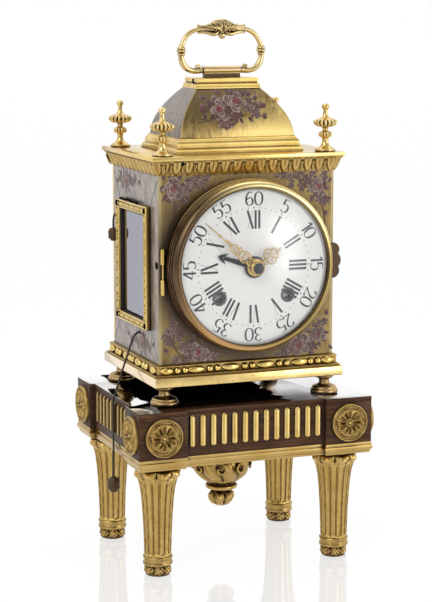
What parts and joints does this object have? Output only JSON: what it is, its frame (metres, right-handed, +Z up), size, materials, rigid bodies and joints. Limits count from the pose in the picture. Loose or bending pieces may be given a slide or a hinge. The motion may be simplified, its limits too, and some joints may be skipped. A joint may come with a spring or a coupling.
{
  "type": "lantern clock",
  "caption": "Small gilt and enamelled travelling alarm clock with a domed top, bail handle and round glazed door, standing on its own four-legged wooden stand.",
  "frame": {"origin": "centre of the stand's plan on the floor", "axes": "+Z up, +X to the right seen from the front, front with the dial facing -Y"},
  "size_m": [0.1292, 0.106, 0.2705],
  "materials": {
    "gilt": "gilt, cast and polished",
    "mahogany": "dark red-brown, polished",
    "front_enamel": "olive-gold enamel with roses, glossy",
    "side_enamel": "lilac-silver streaked enamel, glossy",
    "dial_enamel": "white, glossy",
    "glass": "clear",
    "blued_steel": "blued, satin",
    "steel": "satin",
    "dark_bronze": "browned, satin",
    "movement_brass": "satin",
    "bell_metal": "satin",
    "pulley_wood": "turned, oiled",
    "cord": "matt, twisted silk"
  },
  "bodies": {
    "clock_and_stand": {"stand_top": "mahogany", "stand_frame": "mahogany", "stand_moulding": "gilt", "flutes": "gilt", "rosettes": "gilt", "leg_capitals": "gilt", "leg_shafts": "gilt", "leg_toes": "gilt", "pendant": "gilt", "clock_feet": "gilt", "base_plate": "gilt", "base_moulding": "gilt", "case_posts": "movement_brass", "front_plate": "front_enamel", "side_plaques_left": "side_enamel", "side_plaques_right": "side_enamel", "window_frames": "gilt", "window_glasses": "glass", "window_screws": "steel", "rear_plate": "gilt", "hinge_knuckles": "gilt", "cornice": "gilt", "cornice_slab": "gilt", "finials": "gilt", "dome_moulding": "gilt", "dome_shell": "front_enamel", "dome_cap": "gilt", "handle_tube": "gilt", "dial": "dial_enamel", "dial_ring": "movement_brass", "movement_plates": "movement_brass", "movement_pillars": "movement_brass", "balance_cock": "movement_brass", "bell": "bell_metal", "pull_cord": "cord", "cord_knobs": "dark_bronze"},
    "bezel_door": {"bezel_ring": "gilt", "bezel_glass": "glass", "bezel_thumbpiece": "dark_bronze"},
    "rear_door": {"rear_door": "gilt"},
    "bail": {"handle_bail": "gilt"},
    "minute_group": {"minute_hand": "gilt", "cannon_pinion": "movement_brass"},
    "hour_group": {"hour_hand": "gilt", "hour_wheel": "movement_brass"},
    "minute_wheel": {"minute_wheel": "movement_brass"},
    "alarm_group": {"alarm_hand": "blued_steel"},
    "going_barrel": {"going_barrel": "movement_brass"},
    "strike_barrel": {"strike_barrel": "movement_brass"},
    "going_arbor": {"going_arbor": "steel"},
    "strike_arbor": {"strike_arbor": "steel"},
    "centre_wheel": {"centre_wheel": "movement_brass"},
    "third_wheel": {"third_wheel": "movement_brass"},
    "fourth_wheel": {"fourth_wheel": "movement_brass"},
    "escape_wheel": {"escape_wheel": "movement_brass"},
    "balance": {"balance": "movement_brass"},
    "pin_wheel": {"pin_wheel": "movement_brass"},
    "fly": {"fly": "movement_brass"},
    "hammer": {"hammer": "steel"},
    "cord_pulley": {"cord_pulley": "pulley_wood"}
  },
  "joints": [
    {"name": "bezel_hinge", "type": "hinge", "parent": "clock_and_stand", "child": "bezel_door", "pos_m": [-0.0443, -0.0364, 0.1516], "axis": [0, 0, 1], "range_deg": [-110, 0]},
    {"name": "rear_door_hinge", "type": "hinge", "parent": "clock_and_stand", "child": "rear_door", "pos_m": [-0.0394, 0.0364, 0.1516], "axis": [0, 0, 1], "range_deg": [0, 110]},
    {"name": "bail_swing", "type": "hinge", "parent": "clock_and_stand", "child": "bail", "pos_m": [0, 0, 0.2452], "axis": [1, 0, 0], "range_deg": [-110, 110]},
    {"name": "minute_turn", "type": "hinge", "parent": "clock_and_stand", "child": "minute_group", "pos_m": [0, 0, 0.1516], "axis": [0, 1, 0], "continuous": true},
    {"name": "minute_wheel_turn", "type": "hinge", "parent": "clock_and_stand", "child": "minute_wheel", "pos_m": [0, 0, 0.1636], "axis": [0, 1, 0], "continuous": true},
    {"name": "hour_turn", "type": "hinge", "parent": "clock_and_stand", "child": "hour_group", "pos_m": [0, 0, 0.1516], "axis": [0, 1, 0], "continuous": true},
    {"name": "alarm_set", "type": "hinge", "parent": "clock_and_stand", "child": "alarm_group", "pos_m": [0, 0, 0.1516], "axis": [0, 1, 0], "continuous": true},
    {"name": "escape_turn", "type": "hinge", "parent": "clock_and_stand", "child": "escape_wheel", "pos_m": [0.01367, 0, 0.18072], "axis": [0, 1, 0], "continuous": true},
    {"name": "fourth_turn", "type": "hinge", "parent": "clock_and_stand", "child": "fourth_wheel", "pos_m": [0.00249, 0, 0.17665], "axis": [0, 1, 0], "continuous": true},
    {"name": "third_turn", "type": "hinge", "parent": "clock_and_stand", "child": "third_wheel", "pos_m": [0.00929, 0, 0.16487], "axis": [0, 1, 0], "continuous": true},
    {"name": "centre_turn", "type": "hinge", "parent": "clock_and_stand", "child": "centre_wheel", "pos_m": [0, 0, 0.1516], "axis": [0, 1, 0], "continuous": true},
    {"name": "going_barrel_turn", "type": "hinge", "parent": "clock_and_stand", "child": "going_barrel", "pos_m": [0.01795, 0, 0.137], "axis": [0, 1, 0], "continuous": true},
    {"name": "going_wind", "type": "hinge", "parent": "clock_and_stand", "child": "going_arbor", "pos_m": [0.01795, 0, 0.137], "axis": [0, 1, 0], "continuous": true},
    {"name": "fly_turn", "type": "hinge", "parent": "clock_and_stand", "child": "fly", "pos_m": [-0.01601, 0, 0.17483], "axis": [0, 1, 0], "continuous": true},
    {"name": "pin_wheel_turn", "type": "hinge", "parent": "clock_and_stand", "child": "pin_wheel", "pos_m": [-0.01997, 0, 0.16005], "axis": [0, 1, 0], "continuous": true},
    {"name": "strike_barrel_turn", "type": "hinge", "parent": "clock_and_stand", "child": "strike_barrel", "pos_m": [-0.01795, 0, 0.137], "axis": [0, 1, 0], "continuous": true},
    {"name": "strike_wind", "type": "hinge", "parent": "clock_and_stand", "child": "strike_arbor", "pos_m": [-0.01795, 0, 0.137], "axis": [0, 1, 0], "continuous": true},
    {"name": "hammer_swing", "type": "hinge", "parent": "clock_and_stand", "child": "hammer", "pos_m": [-0.026, 0, 0.1761], "axis": [0, 1, 0], "range_deg": [-7, 0]},
    {"name": "balance_swing", "type": "hinge", "parent": "clock_and_stand", "child": "balance", "pos_m": [0.02077, 0, 0.18072], "axis": [0, 1, 0], "range_deg": [-135, 135], "stiffness_Nm_per_rad": 0.00004},
    {"name": "pulley_turn", "type": "hinge", "parent": "clock_and_stand", "child": "cord_pulley", "pos_m": [-0.0392, 0.0075, 0.148], "axis": [1, 0, 0], "continuous": true}
  ],
  "couplings": [
    {"joint": "minute_wheel_turn", "follows": "minute_turn", "ratio": -0.33333},
    {"joint": "hour_turn", "follows": "minute_turn", "ratio": 0.083333},
    {"joint": "fourth_turn", "follows": "escape_turn", "ratio": -0.13333},
    {"joint": "third_turn", "follows": "escape_turn", "ratio": 0.017778},
    {"joint": "centre_turn", "follows": "escape_turn", "ratio": -0.0022222},
    {"joint": "going_barrel_turn", "follows": "escape_turn", "ratio": 0.00037037},
    {"joint": "pin_wheel_turn", "follows": "fly_turn", "ratio": -0.13333},
    {"joint": "strike_barrel_turn", "follows": "fly_turn", "ratio": 0.022222}
  ]
}
